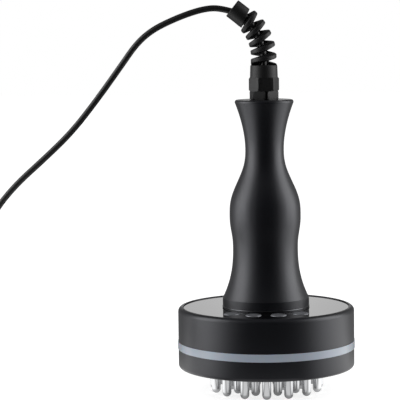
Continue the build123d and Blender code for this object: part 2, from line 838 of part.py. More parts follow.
def spiral_nut():
    """Cap nut whose moulded spiral and end sleeve guard the lead's bend."""
    nut = hexagon(gland_flats, gland_flange_top, nut_hex_top, nut_turn)
    nut -= post(gland_thread_radius + fit_gap, gland_flange_top - cut_past, nut_hex_top + cut_past)
    cap = Pos(0, 0, nut_hex_top) * Cone(nut_cap_low_radius, nut_cap_top_radius, nut_cap_height,
                                        align=(Align.CENTER, Align.CENTER, Align.MIN))
    cap -= post(seal_radius + fit_gap, nut_hex_top - cut_past, cup_low + seal_length)
    cap -= post(nut_mouth_radius, nut_hex_top, nut_cap_top + cut_past)
    tilt = spiral_bend_angle
    lean = radians(tilt)
    start = Vector(-spiral_bend_radius * (1 - cos(lean)), 0,
                   nut_cap_top + spiral_straight + spiral_bend_radius * sin(lean))
    sleeve_plane = Plane(origin=start, x_dir=(cos(lean), 0, sin(lean)), z_dir=(-sin(lean), 0, cos(lean)))
    sleeve = sleeve_plane * tube(sleeve_radius, sleeve_bore_radius, 0, sleeve_length)
    first = Vector(spiral_low_radius, 0, nut_cap_top)
    last = start + Vector(cos(lean), 0, sin(lean)) * spiral_top_radius
    up = Vector(0, 0, 1)
    onward = Vector(-sin(lean), 0, cos(lean))
    foot = first - up * spiral_strand_root
    first_top = first + up * 2 * spiral_strand_radius
    last_foot = last - onward * 2 * spiral_strand_radius
    steps = int(stations_per_turn * (spiral_turns - 2 * spiral_lead_in))
    stations = [spiral_lead_in + index / stations_per_turn for index in range(steps + 1)]
    edges = [Edge.make_line(foot, first_top)]
    edges += biarc(first_top, up, spiral_place(stations[0]), way_at(spiral_place, stations[0]))
    edges += wound_path(spiral_place, stations)
    edges += biarc(spiral_place(stations[-1]), way_at(spiral_place, stations[-1]), last_foot, onward)
    edges += [Edge.make_line(last_foot, last + onward * spiral_strand_root)]
    strand = sweep(Plane(origin=foot, z_dir=up) * Circle(spiral_strand_radius), path=Wire(edges))
    least_self_gap(spiral_place, stations[0], stations[-1], 2 * spiral_strand_radius, "spiral")
    return nut + cap + strand + sleeve


parts["gland_body"] = gland_body()
parts["gland_locknut"] = (hexagon(locknut_flats, handle_top - wall - locknut_height, handle_top - wall, 0)
                          - post(gland_thread_radius + fit_gap, gland_low, handle_top))
parts["gland_seal"] = tube(seal_radius, cord_radius + fit_gap, cup_low, cup_low + seal_length)
parts["spiral_nut"] = spiral_nut()

# Lead inside the object, from the wire split up through the gland and the spiral
lead_route = [
    (0, 0, wire_split_height), (0, 0, 88.0), (1.5, -0.8, 103.0), (-1.4, 0.8, 121.0), (0.9, -0.5, 140.0),
    (0, 0, 162.0), (0, 0, 193.0), (-3.8, 0, 203.2), (-10.7, 0, 213.1), (-18.6, 0, 215.3)]
parts["inner_lead"] = route_tube(lead_route, cord_radius, "inner lead")


def cable_tie():
    """Strap round the lead under the gland, with its square head."""
    low, high = Vector(*lead_route[4]), Vector(*lead_route[5])
    middle = low + (high - low) * ((tie_height - low.Z) / (high.Z - low.Z))
    outer = cord_radius + tie_gap + tie_thickness
    strap = Cylinder(outer, tie_width) + Pos(outer, 0, 0) * Box(tie_width, tie_head, tie_width)
    return Pos(*middle) * (strap - Cylinder(cord_radius + tie_gap, 2 * tie_width))


parts["cable_tie"] = cable_tie()


def wire(x, source, source_top, turn_height, elbow_height):
    """One wire from its source, down through the deck's slot and into the connector, at one X."""
    route = [(x, -source, source_top), (x, -source, turn_height), (x, -wire_drop, elbow_height),
             (x, -wire_drop, wire_level), (x, -connector_face, wire_level)]
    return route_tube(route, wire_radius, "wire")


lead_wire_turn = wire_split_height - wire_split_run
parts["lead_wires"] = [
    wire(side * wire_pitch / 2, 0, wire_split_height, lead_wire_turn, wire_elbow_height) for side in (-1, 1)]
motor_wire_crest = end_cap_top + motor_wire_rise
motor_wire_bend = end_cap_top + motor_wire_elbow
parts["motor_wires"] = [
    wire(side * wire_pitch * 3 / 2, motor_wire_radius, end_cap_top, motor_wire_crest, motor_wire_bend)
    for side in (-1, 1)]

# Free cord: out of the sleeve, over in an arc and down onto the coil
coil_outer_radius = coil_inner_radius + coil_pitch * coil_turns_per_layer
coil_top_height = cord_radius + coil_pitch * (coil_layers - 1)
coil_start = (coil_centre[0], coil_centre[1] - coil_outer_radius, coil_top_height)
cord_route = [
    (-18.6, 0, 215.3), (-24.4, 0, 216.9), (-31.2, 0, 216.9), (-40.0, 0, 214.8), (-51.0, 0, 210.7),
    (-62.5, 0, 205.2), (-71.5, 0, 197.6), (-80.5, 0, 185.0), (-94.5, 0, 166.0), (-109.0, 0, 148.0),
    (-125.0, 0, 133.0), (-141.5, 0, 118.5), (-154.0, 0, 103.5), (-162.0, 0, 85.5), (-165.0, 0, 66.5),
    (-166.5, 0, 47.0), (-170.0, 0, 33.0), (-176.5, 0, 23.5), (-185.0, 0, 16.6), (-194.0, 0, 13.6), coil_start]
parts["cord"] = route_tube(cord_route, cord_radius, "cord")


def layer_share(turn):
    """Radius measure and height of the coil after a number of turns, going in and out by layers."""
    layer = min(int(turn / coil_turns_per_layer), coil_layers - 1)
    inside = turn - layer * coil_turns_per_layer
    depth = inside if layer % 2 == 0 else coil_turns_per_layer - inside
    nearest = round(turn / coil_turns_per_layer)
    offset = turn - nearest * coil_turns_per_layer
    drop = float(layer)
    if 1 <= nearest <= coil_layers - 1 and abs(offset) < coil_climb_turns:
        drop = nearest - 0.5 + 0.5 * sin(pi / 2 * offset / coil_climb_turns)
    return depth, drop


def coil_place(turn):
    """Point on the coil's centre line after a number of turns, seen from above going clockwise."""
    depth, drop = layer_share(turn)
    radius = coil_outer_radius - coil_pitch * depth
    angle = -pi / 2 - 2 * pi * turn
    return Vector(coil_centre[0] + radius * cos(angle), coil_centre[1] + radius * sin(angle),
                  coil_top_height - coil_pitch * drop)


coil_turns = coil_turns_per_layer * (coil_layers - 1) + coil_last_layer_turns


def cord_coil():
    """The put-away length, wound in layers that spiral in and out."""
    stations = [index / stations_per_turn for index in range(int(stations_per_turn * coil_turns) + 1)]
    edges = wound_path(coil_place, stations, Vector(-1, 0, 0), Vector(0, -1, 0))
    path = Wire(edges)
    print("coil length", round(path.length, 1))
    least_self_gap(coil_place, 0, coil_turns, 2 * cord_radius, "coil")
    return sweep(Plane(origin=coil_place(0), z_dir=(-1, 0, 0)) * Circle(cord_radius), path=path)


parts["cord_coil"] = cord_coil()

# Cord's end and the plug, which lies beside the coil and points away from the object
tail_start = coil_place(coil_turns)
plug_axis_height = plug_grip_radius
plug_back = tail_start.Y - plug_tail_length
plug_x = tail_start.X + tail_shift
tail_bend = tail_start.Y - tail_run
tail_route = [
    (tail_start.X, tail_start.Y, cord_radius), (tail_start.X, tail_bend, cord_radius),
    (plug_x, tail_bend - tail_rise_run, plug_axis_height), (plug_x, plug_back, plug_axis_height)]
parts["cord_tail"] = route_tube(tail_route, cord_radius, "cord tail")


def plug_cylinder(radius, near, far):
    """A cylinder on the plug's axis between two distances from the plug's back."""
    return Pos(plug_x, plug_back - near, plug_axis_height) * Rot(90, 0, 0) * Cylinder(
        radius, far - near, align=(Align.CENTER, Align.CENTER, Align.MIN))


def plug_grip():
    """Moulded grip with a tapered neck behind it."""
    neck = Pos(plug_x, plug_back, plug_axis_height) * Rot(90, 0, 0) * Cone(
        plug_neck_radius, plug_grip_radius - plug_edge_round, plug_neck_length,
        align=(Align.CENTER, Align.CENTER, Align.MIN))
    grip = plug_cylinder(plug_grip_radius, plug_neck_length, plug_neck_length + plug_grip_length)
    grip = fillet(grip.edges().filter_by(GeomType.CIRCLE), plug_edge_round)
    return neck + grip


barrel_back = plug_neck_length + plug_grip_length
barrel_end = barrel_back + plug_barrel_length
parts["plug_grip"] = plug_grip()
parts["plug_barrel"] = (plug_cylinder(plug_barrel_radius, barrel_back, barrel_end)
                        - plug_cylinder(plug_insulator_radius, barrel_back - cut_past, barrel_end + cut_past))
plug_bore = plug_cylinder(plug_bore_radius, barrel_end - plug_bore_depth, barrel_end + cut_past)
parts["plug_insulator"] = plug_cylinder(plug_insulator_radius, barrel_back, barrel_end) - plug_bore

for node, shape in parts.items():
    solids = Compound(children=shape) if isinstance(shape, list) else shape
    export_step(solids, "parts/" + node + ".step")
print(len(parts), "nodes")
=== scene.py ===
from math import cos, pi, radians, sin

import bmesh
import bpy
import numpy as np
from mathutils import Matrix, Vector


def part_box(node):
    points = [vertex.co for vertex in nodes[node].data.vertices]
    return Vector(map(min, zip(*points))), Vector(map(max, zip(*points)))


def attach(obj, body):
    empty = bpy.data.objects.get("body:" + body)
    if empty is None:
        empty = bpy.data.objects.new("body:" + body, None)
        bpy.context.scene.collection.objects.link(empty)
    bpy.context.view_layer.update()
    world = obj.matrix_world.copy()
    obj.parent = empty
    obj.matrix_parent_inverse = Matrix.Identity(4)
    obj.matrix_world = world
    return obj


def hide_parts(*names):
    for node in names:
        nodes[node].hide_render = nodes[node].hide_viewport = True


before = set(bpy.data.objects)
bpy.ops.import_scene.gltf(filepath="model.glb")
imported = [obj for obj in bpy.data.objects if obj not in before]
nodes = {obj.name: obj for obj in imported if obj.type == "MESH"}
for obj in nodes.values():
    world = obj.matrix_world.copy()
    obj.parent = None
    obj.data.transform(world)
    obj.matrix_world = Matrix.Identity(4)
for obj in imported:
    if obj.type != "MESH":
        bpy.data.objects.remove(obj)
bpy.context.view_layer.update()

# Lengths in metres, as the frame has them; MM turns a size in millimetres into metres.
MM = 0.001

# Camera, fitted to the photograph's view of the head and the handle
camera_place = (-0.13188 * MM, -1069.588 * MM, 213.675 * MM)
camera_turn = 1.963
camera_tilt = 5.588
camera_roll = -0.7153
camera_lens = 170.868
sensor_width = 36.0

camera_data = bpy.data.cameras.new("camera")
camera_data.lens = camera_lens
camera_data.sensor_width = sensor_width
camera_data.clip_start = 0.01
camera_data.clip_end = 50.0
camera = bpy.data.objects.new("camera", camera_data)
bpy.context.scene.collection.objects.link(camera)
camera.matrix_world = (
    Matrix.Translation(camera_place)
    @ Matrix.Rotation(radians(camera_turn), 4, "Z")
    @ Matrix.Rotation(radians(90 - camera_tilt), 4, "X")
    @ Matrix.Rotation(radians(camera_roll), 4, "Z"))
bpy.context.scene.camera = camera
bpy.context.scene.view_settings.view_transform = "Standard"


# Nodes and colours
def linear(code, alpha=1.0):
    """Linear colour of an sRGB hex code."""
    channels = np.array([int(code[i:i + 2], 16) for i in (1, 3, 5)]) / 255
    flat = np.where(channels <= 0.04045, channels / 12.92, ((channels + 0.055) / 1.055) ** 2.4)
    return (*flat.tolist(), alpha)


def add(tree, kind, inputs=None, **settings):
    """A shader node with its settings, and its inputs set to values or linked from other nodes' outputs."""
    node = tree.nodes.new("ShaderNode" + kind)
    for name, value in settings.items():
        setattr(node, name, value)
    for name, value in (inputs or {}).items():
        if isinstance(value, bpy.types.NodeSocket):
            tree.links.new(value, node.inputs[name])
        else:
            node.inputs[name].default_value = value
    return node


def blank(name):
    """A material with a Principled shader on its surface, and where its patterns are read."""
    material = bpy.data.materials.new(name)
    material.use_nodes = True
    tree = material.node_tree
    shader = tree.nodes["Principled BSDF"]
    where = add(tree, "TexCoord").outputs["Object"]
    return material, tree, shader, where


def spread(tree, value, low, high):
    """A 0 to 1 value spread from low to high."""
    return add(tree, "MapRange", {"Value": value, "To Min": low, "To Max": high}).outputs["Result"]


def shades(tree, factor, first, second):
    """A colour between two sRGB hex codes."""
    return add(tree, "Mix", {"Factor": factor, "A": linear(first), "B": linear(second)},
               data_type="RGBA").outputs[2]


def bumped(tree, shader, height, depth):
    """Raise the surface by a 0 to 1 height of a depth in millimetres."""
    bump = add(tree, "Bump", {"Height": height, "Distance": depth * MM, "Strength": 1.0})
    tree.links.new(bump.outputs["Normal"], shader.inputs["Normal"])


def grained(name, colours, roughness, grain, depth, patch=18.0, stretch=(1, 1, 1), sockets=None):
    """A finish with fine grain in its bump and wide soft patches in its colour and gloss. Grain and patch are
    sizes in millimetres, depth the grain's height in millimetres, roughness its lowest and highest value."""
    material, tree, shader, where = blank(name)
    scaled = add(tree, "Mapping", {"Vector": where, "Scale": stretch}).outputs["Vector"]
    fine = add(tree, "TexNoise", {"Vector": scaled, "Scale": 1 / (grain * MM), "Detail": 2.0}).outputs["Fac"]
    wide = add(tree, "TexNoise", {"Vector": scaled, "Scale": 1 / (patch * MM), "Detail": 3.0}).outputs["Fac"]
    tree.links.new(shades(tree, wide, *colours), shader.inputs["Base Color"])
    tree.links.new(spread(tree, wide, *roughness), shader.inputs["Roughness"])
    bumped(tree, shader, fine, depth)
    for socket, value in (sockets or {}).items():
        shader.inputs[socket].default_value = value
    return material


# Finishes of the outside
# Satin ABS from a spark-eroded mould: soft wide highlights, a little blue. The grain is 0.3 mm, drawn at
# 0.5 mm to show.
satin_abs = grained("satin_moulded_abs", ("#111217", "#15161b"), (0.31, 0.37), 0.5, 0.005,
                    sockets={"IOR": 1.52, "Specular Tint": (0.94, 0.95, 1.0, 1.0)})
# High-gloss acrylic: a mirror at low angles, with faint wiping marks in its gloss.
gloss_acrylic = grained("polished_black_acrylic", ("#08080a", "#0b0b0d"), (0.02, 0.06), 6.0, 0.0004,
                        sockets={"IOR": 1.49})
# Translucent acrylic band with white pigment, moulded and polished: pale blue-grey, the light goes in a
# little, and a clear skin over it shines at its sides.
milky_acrylic = grained("milky_acrylic", ("#b4bfce", "#bcc7d5"), (0.28, 0.36), 0.6, 0.002,
                        sockets={"IOR": 1.49, "Subsurface Weight": 0.3, "Subsurface Scale": 0.0015,
                                 "Coat Weight": 0.8, "Coat Roughness": 0.2})
# Silver lacquer on moulded caps: dull metal flakes.
silver_lacquer = grained("silver_lacquer", ("#828489", "#8c8e93"), (0.42, 0.5), 0.4, 0.001,
                         sockets={"Metallic": 0.6})
# Ground and polished stainless steel, its last polish running along the tooth.
polished_steel = grained("polished_steel", ("#dcdddf", "#e6e7e8"), (0.05, 0.11), 0.6, 0.0006, patch=4.0,
                         stretch=(1, 1, 0.12), sockets={"Metallic": 1.0})
# Glass-filled black nylon 6: drier than the ABS, with a fine eggshell grain.
moulded_nylon = grained("moulded_black_nylon", ("#0f0f10", "#131314"), (0.46, 0.54), 0.45, 0.008, patch=7.0,
                        sockets={"IOR": 1.42})
# Smooth extruded PVC, a little sheen.
cord_pvc = grained("extruded_pvc", ("#0b0b0c", "#0f0f10"), (0.42, 0.5), 0.8, 0.0004, patch=12.0,
                   sockets={"IOR": 1.53})
# Over-moulded PVC of the plug, duller than the cord.
plug_pvc = grained("moulded_pvc", ("#131315", "#18181a"), (0.42, 0.5), 0.5, 0.01, patch=6.0,
                   sockets={"IOR": 1.53})
# Black chrome trim: a dark mirror.
black_chrome = grained("black_chrome", ("#595a5d", "#636467"), (0.08, 0.14), 0.4, 0.0005, patch=4.0,
                       sockets={"Metallic": 1.0})
# Nickel plated brass: a warm mirror with faint clouds.
nickel = grained("nickel_plate", ("#c9c4b9", "#d5d0c5"), (0.12, 0.2), 0.3, 0.001, patch=3.0,
                 sockets={"Metallic": 1.0})

# Finishes of the inside
# Zinc plated steel screws, a cloudy passivated skin.
zinc_plate = grained("zinc_plated_steel", ("#a9aaa6", "#bdbebb"), (0.24, 0.36), 0.3, 0.002, patch=2.0,
                     sockets={"Metallic": 1.0})
# White needled felt.
felt = grained("needled_felt", ("#d6d3c9", "#e6e4dc"), (0.9, 0.98), 0.5, 0.09, patch=5.0)
# Black epoxy of chips and connector.
epoxy = grained("moulded_epoxy", ("#17171a", "#1d1d20"), (0.5, 0.6), 0.2, 0.006, patch=3.0)
# Glass-filled thermoplastic of the switch housings, matt.
switch_plastic = grained("switch_thermoplastic", ("#1c1c1e", "#232326"), (0.45, 0.55), 0.3, 0.004, patch=3.0)
# Ivory acetal of the push pins, waxy.
acetal = grained("ivory_acetal", ("#d8d0bb", "#e1dac7"), (0.35, 0.42), 0.3, 0.002, patch=3.0)
# Natural nylon of the motor's end cap, cream and slightly dull.
natural_nylon = grained("natural_nylon", ("#ddd8cb", "#e6e1d5"), (0.4, 0.48), 0.4, 0.004, patch=5.0)
# Sintered ferrite magnets: dark, dry and slightly pitted.
ferrite = grained("sintered_ferrite", ("#1d1b1b", "#2a2727"), (0.6, 0.72), 0.35, 0.03, patch=3.0)
# Oil-filled sintered bronze: warm, with fine pores.
bronze = grained("sintered_bronze", ("#9b6f3c", "#b3864f"), (0.4, 0.5), 0.25, 0.01, patch=2.0,
                 sockets={"Metallic": 1.0})
# Soft moulded seal rubber: dark and dry.
rubber = grained("seal_rubber", ("#0f0f10", "#151516"), (0.62, 0.72), 0.4, 0.01, patch=5.0)
# Deep-drawn steel of the motor can, with fine marks along its axis.
drawn_steel = grained("drawn_steel", ("#9fa2a6", "#b3b6b9"), (0.24, 0.34), 0.5, 0.002, patch=5.0,
                      stretch=(1, 1, 0.08), sockets={"Metallic": 1.0})


# A wave texture's phase, in radians, is 20 times its scaled place, so its bands lie 2 pi / 20 of 1 / scale
# apart. The widths given below are a band's spacing over 2 pi.
wave_phase = 20


def turned(name, colours, roughness, width, depth):
    """A face-turned metal: rings about the head's axis, of a width in millimetres."""
    material, tree, shader, where = blank(name)
    rings = add(tree, "TexWave", {"Vector": where, "Scale": 1 / (wave_phase * width * MM), "Distortion": 0.3},
                wave_type="RINGS", rings_direction="Z").outputs["Fac"]
    tree.links.new(shades(tree, rings, *colours), shader.inputs["Base Color"])
    tree.links.new(spread(tree, rings, *roughness), shader.inputs["Roughness"])
    bumped(tree, shader, rings, depth)
    shader.inputs["Metallic"].default_value = 1.0
    return material


# Face-turned aluminium tooth plate, and the brass weight from the lathe.
turned_aluminium = turned("turned_aluminium", ("#c3c6c9", "#d3d6d8"), (0.22, 0.36), 0.6, 0.004)
turned_brass = turned("turned_brass", ("#b08d44", "#c8a65c"), (0.18, 0.3), 0.5, 0.003)


def banded(name, colours, roughness, width, share, direction="Z", kind="BANDS", metallic=0.0):
    """A finish with straight or ring-shaped bands of a width in millimetres and of two colours, where the
    first colour takes the given share of each band."""
    material, tree, shader, where = blank(name)
    turned_to = {"wave_type": kind, "bands_direction": direction} if kind == "BANDS" else {
        "wave_type": kind, "rings_direction": direction}
    wave = add(tree, "TexWave", {"Vector": where, "Scale": 1 / (wave_phase * width * MM)},
               wave_profile="SAW", **turned_to).outputs["Fac"]
    band = add(tree, "Math", {0: wave, 1: share}, operation="GREATER_THAN").outputs[0]
    tree.links.new(shades(tree, band, *colours), shader.inputs["Base Color"])
    tree.links.new(spread(tree, band, *roughness), shader.inputs["Roughness"])
    bumped(tree, shader, band, 0.02)
    shader.inputs["Metallic"].default_value = metallic
    return material


# Amber polyimide with etched heating tracks in rings.
heater_foil = banded("polyimide_heater_foil", ("#b5681c", "#d9913c"), (0.3, 0.22), 3.0, 0.5, kind="RINGS")
# Stacked armature laminations, drawn as wide bands to show.
laminations = banded("stacked_laminations", ("#6d6f72", "#85878a"), (0.4, 0.3), 0.8, 0.5, metallic=1.0)
# Aluminium of the capacitors' cans, with dark bands across X.
capacitor_can = banded("capacitor_can", ("#b9bcbf", "#3a3c42"), (0.25, 0.4), 9.0, 0.8, direction="X",
                       metallic=0.7)
# Warm white and phosphor yellow of the lamps, in bands across X.
lamp_body = banded("lamp_body", ("#efe7cf", "#e2c76a"), (0.4, 0.3), 2.6, 0.55, direction="X")


def glass_fibre():
    """Green glass-fibre board: solder mask over copper tracks, which run in straight steps round squarish
    cells."""
    cell = 3.5
    unevenness = 0.35
    track_starts = 0.38
    material, tree, shader, where = blank("glass_fibre_board")
    cells = add(tree, "TexVoronoi", {"Vector": where, "Scale": 1 / (cell * MM), "Randomness": unevenness},
                feature="F1", distance="CHEBYCHEV").outputs["Distance"]
    track = add(tree, "Math", {0: cells, 1: track_starts}, operation="GREATER_THAN").outputs[0]
    tree.links.new(shades(tree, track, "#0f4f2b", "#1f6f41"), shader.inputs["Base Color"])
    tree.links.new(spread(tree, track, 0.3, 0.42), shader.inputs["Roughness"])
    bumped(tree, shader, track, 0.03)
    return material


def wire_pair():
    """PVC wire insulation, red on the +X side and black on the other."""
    material, tree, shader, where = blank("wire_insulation")
    across = add(tree, "SeparateXYZ", {"Vector": where}).outputs["X"]
    side = add(tree, "Math", {0: across, 1: 0.0}, operation="GREATER_THAN").outputs[0]
    tree.links.new(shades(tree, side, "#1a1a1b", "#a3201b"), shader.inputs["Base Color"])
    shader.inputs["Roughness"].default_value = 0.42
    fine = add(tree, "TexNoise", {"Vector": where, "Scale": 1 / (0.5 * MM)}).outputs["Fac"]
    bumped(tree, shader, fine, 0.004)
    return material


board_green = glass_fibre()
wire_pvc = wire_pair()

finish_of_node = {
    "lower_shell": satin_abs, "upper_shell": satin_abs, "handle_front": satin_abs, "handle_back": satin_abs,
    "control_panel": gloss_acrylic, "light_ring": milky_acrylic,
    "power_button": silver_lacquer, "heat_button": silver_lacquer, "vibration_button": silver_lacquer,
    "level_button": silver_lacquer,
    "teeth_outer": polished_steel, "teeth_middle": polished_steel, "teeth_inner": polished_steel,
    "tooth_center": polished_steel, "tooth_plate": turned_aluminium, "heater_film": heater_foil,
    "insulation_pad": felt, "light_board": board_green, "control_board": board_green, "lamps": lamp_body,
    "board_connector": epoxy, "driver_chips": epoxy, "board_capacitors": capacitor_can,
    "tact_switches": switch_plastic, "power_plunger": acetal, "heat_plunger": acetal,
    "vibration_plunger": acetal, "level_plunger": acetal, "motor_bracket": moulded_nylon,
    "motor_can": drawn_steel, "motor_end_cap": natural_nylon, "motor_magnets": ferrite,
    "motor_bushes": bronze, "armature": laminations, "motor_shaft": drawn_steel,
    "eccentric_weight": turned_brass,
    "gland_locknut": moulded_nylon, "gland_seal": rubber, "cable_tie": moulded_nylon, "inner_lead": cord_pvc,
    "lead_wires": wire_pvc, "motor_wires": wire_pvc,
}
for node, material in finish_of_node.items():
    nodes[node].data.materials.clear()
    nodes[node].data.materials.append(material)


# Building meshes
def sheet_of(points, first_cap=False, last_cap=False):
    """Vertices and faces over a grid of points whose rows are closed rings, with each end left open or closed
    by a fan to its middle."""
    rings, around = points.shape[:2]
    index = np.arange(rings * around).reshape(rings, around)
    ahead = np.roll(index, -1, axis=1)
    quads = np.stack([index[:-1], ahead[:-1], ahead[1:], index[1:]], -1).reshape(-1, 4)
    vertices = points.reshape(-1, 3)
    faces = quads.tolist()
    for wanted, row in ((first_cap, 0), (last_cap, rings - 1)):
        if wanted:
            middle = len(vertices)
            vertices = np.vstack([vertices, points[row].mean(axis=0)])
            fan = np.stack([index[row], ahead[row], np.full(around, middle)], -1)
            faces += fan.tolist()
    return vertices, faces


def piece(name, shells, material, stands_for=(), crease=35.0):
    """One finished mesh object from several closed shells, riding on the housing."""
    mesh = bpy.data.meshes.new(name)
    vertices, faces, start = [], [], 0
    for shell_vertices, shell_faces in shells:
        vertices.append(shell_vertices)
        faces += [[corner + start for corner in face] for face in shell_faces]
        start += len(shell_vertices)
    mesh.from_pydata(np.vstack(vertices).tolist(), [], faces)
    work = bmesh.new()
    work.from_mesh(mesh)
    bmesh.ops.remove_doubles(work, verts=work.verts, dist=1e-7)
    bmesh.ops.recalc_face_normals(work, faces=work.faces)
    work.to_mesh(mesh)
    work.free()
    mesh.materials.append(material)
    mesh.polygons.foreach_set("use_smooth", np.ones(len(mesh.polygons), bool))
    mesh.set_sharp_from_angle(angle=radians(crease))
    made = bpy.data.objects.new(name, mesh)
    bpy.context.scene.collection.objects.link(made)
    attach(made, "housing")
    if stands_for:
        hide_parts(*stands_for)
    return made


def placed(points, origin, x_axis, z_axis):
    """Points in a local frame, moved to an origin and turned to its X and Z axes."""
    x_axis = np.array(x_axis, float)
    z_axis = np.array(z_axis, float)
    axes = np.stack([x_axis, np.cross(z_axis, x_axis), z_axis])
    return points @ axes + np.array(origin, float)


def lathe(profile, around=96):
    """A grid of rings: each profile point, (radius, height), turned about Z."""
    radius, height = np.array(profile, float).T
    angle = np.linspace(0, 2 * pi, around, endpoint=False)
    return np.stack([np.outer(radius, np.cos(angle)), np.outer(radius, np.sin(angle)),
                     np.outer(height, np.ones(around))], -1)


def soft_corners(profile, rounds, steps=5):
    """A profile whose inner corners are replaced by arcs that touch both sides. Each corner's round is how
    far back along its sides the arc starts. The arc is (1-s)^2 start + 2s(1-s) corner + s^2 end, for s from
    0 to 1."""
    points = [np.array(point, float) for point in profile]
    out = [points[0]]
    for before, corner, after, back in zip(points, points[1:], points[2:], rounds):
        if back == 0:
            out.append(corner)
            continue
        start = corner + (before - corner) / np.linalg.norm(before - corner) * back
        end = corner + (after - corner) / np.linalg.norm(after - corner) * back
        for share in np.linspace(0, 1, steps):
            out.append((1 - share) ** 2 * start + 2 * share * (1 - share) * corner + share ** 2 * end)
    return out + [points[-1]]


# Cord: the route's points, then the coil's turns, then the short end to the plug
cord_diameter = 3.5 * MM
cord_route = [
    (-18.6, 0, 215.3), (-24.4, 0, 216.9), (-31.2, 0, 216.9), (-40.0, 0, 214.8), (-51.0, 0, 210.7),
    (-62.5, 0, 205.2), (-71.5, 0, 197.6), (-80.5, 0, 185.0), (-94.5, 0, 166.0), (-109.0, 0, 148.0),
    (-125.0, 0, 133.0), (-141.5, 0, 118.5), (-154.0, 0, 103.5), (-162.0, 0, 85.5), (-165.0, 0, 66.5),
    (-166.5, 0, 47.0), (-170.0, 0, 33.0), (-176.5, 0, 23.5), (-185.0, 0, 16.6), (-194.0, 0, 13.6)]
coil_centre = (-202.0, 26.1)
coil_outer_radius = 26.1
coil_pitch = 3.95
coil_turns_per_layer = 3
coil_layers = 4
coil_turns = 11.75
coil_climb_turns = 0.25
coil_points_per_turn = 24
coil_top_height = 13.6
tail_route = [(-176.89, 19.6, 1.75), (-176.39, 11.1, 4.6), (-176.39, 4.1, 4.6)]


def coil_points():
    """Points of the coil's turns. The radius goes in and out again by one pitch a turn, a layer at a time,
    and the height drops a layer along a sine in the half turn about each reversal."""
    turn = np.arange(int(coil_turns * coil_points_per_turn) + 1) / coil_points_per_turn
    layer = np.minimum(turn // coil_turns_per_layer, coil_layers - 1)
    inside = turn - layer * coil_turns_per_layer
    depth = np.where(layer % 2 == 0, inside, coil_turns_per_layer - inside)
    nearest = np.round(turn / coil_turns_per_layer)
    offset = turn - nearest * coil_turns_per_layer
    climbing = (nearest >= 1) & (nearest <= coil_layers - 1) & (np.abs(offset) < coil_climb_turns)
    drop = np.where(climbing, nearest - 0.5 + 0.5 * np.sin(pi / 2 * offset / coil_climb_turns), layer)
    radius = coil_outer_radius - coil_pitch * depth
    angle = -pi / 2 - 2 * pi * turn
    return np.stack([coil_centre[0] + radius * np.cos(angle), coil_centre[1] + radius * np.sin(angle),
                     coil_top_height - coil_pitch * drop], -1)


def power_cord():
    """The whole free cord as one smooth NURBS line with a round section."""
    points = np.vstack([cord_route, coil_points(), tail_route]) * MM
    curve = bpy.data.curves.new("power_cord", "CURVE")
    curve.dimensions = "3D"
    curve.bevel_depth = cord_diameter / 2
    curve.bevel_resolution = 6
    curve.resolution_u = 6
    curve.use_fill_caps = True
    spline = curve.splines.new("NURBS")
    spline.points.add(len(points) - 1)
    spline.points.foreach_set("co", np.hstack([points, np.ones((len(points), 1))]).ravel())
    spline.order_u = 3
    spline.use_endpoint_u = True
    curve.materials.append(cord_pvc)
    cord = bpy.data.objects.new("power_cord", curve)
    bpy.context.scene.collection.objects.link(cord)
    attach(cord, "housing")
    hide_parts("cord", "cord_coil", "cord_tail")
    return cord


cord = power_cord()

# Plug at the cord's end, pointing to the front
plug_back = (-176.39 * MM, 4.1 * MM, 4.6 * MM)
plug_neck = 9.0
plug_grip = 19.0
plug_barrel = 9.5
plug_entry_radius = 1.78
rib_count = 5
rib_start = 0.3
rib_pitch = 1.75
rib_width = 1.05
rib_slope = 0.15
rib_gap_end = 1.6
rib_radius = 2.7
rib_growth = 0.22
rib_height = 0.55
grip_radius = 4.6
grip_grooves = 5
groove_depth = 0.28
groove_share = (0.2, 0.8)
grip_end_round = 0.9
grip_end_share = 0.1
grip_rows = 90
barrel_radius = 2.75
barrel_bore = 2.25
barrel_edge = 0.2
contact_bore = 1.05
contact_depth = 8.4
contact_edge = 0.15
insulator_inset = 0.05


def plug_axis(profile, around=72):
    """A profile in millimetres turned about the plug's axis, its heights running from the plug's back."""
    return placed(lathe(profile, around) * MM, plug_back, (1, 0, 0), (0, -1, 0))


def plug_body():
    """Ribbed strain relief, each rib wider than the last, then a grip. The grip's radius is its full radius
    less the squared upper halves of a sine, its grooves, and less a quarter ellipse at each end."""
    neck = [(plug_entry_radius, 0.0)]
    for rib in range(rib_count):
        low = rib_start + rib * rib_pitch
        full = rib_radius + rib_growth * rib
        neck += [(full, low), (full, low + rib_width), (full - rib_height, low + rib_width + rib_slope),
                 (full - rib_height, low + rib_gap_end)]
    along = np.linspace(0, 1, grip_rows)
    waves = np.maximum(0, np.sin(along * grip_grooves * 2 * pi)) ** 2
    grooves = groove_depth * waves * (along > groove_share[0]) * (along < groove_share[1])
    past = np.clip(np.abs(2 * along - 1) - 1 + grip_end_share, 0, grip_end_share) / grip_end_share
    ends = grip_end_round * (1 - np.sqrt(1 - past ** 2))
    grip = np.stack([grip_radius - grooves - ends, plug_neck + along * plug_grip], -1)
    return [sheet_of(plug_axis(neck + grip.tolist()), True, True)]


def plug_sleeve():
    """Tubular barrel with a rolled front edge."""
    back = plug_neck + plug_grip
    end = back + plug_barrel
    profile = [(barrel_bore, back), (barrel_radius, back), (barrel_radius, end), (barrel_bore, end),
               (barrel_bore, back)]
    return [sheet_of(plug_axis(soft_corners(profile, (0, barrel_edge, barrel_edge))))]


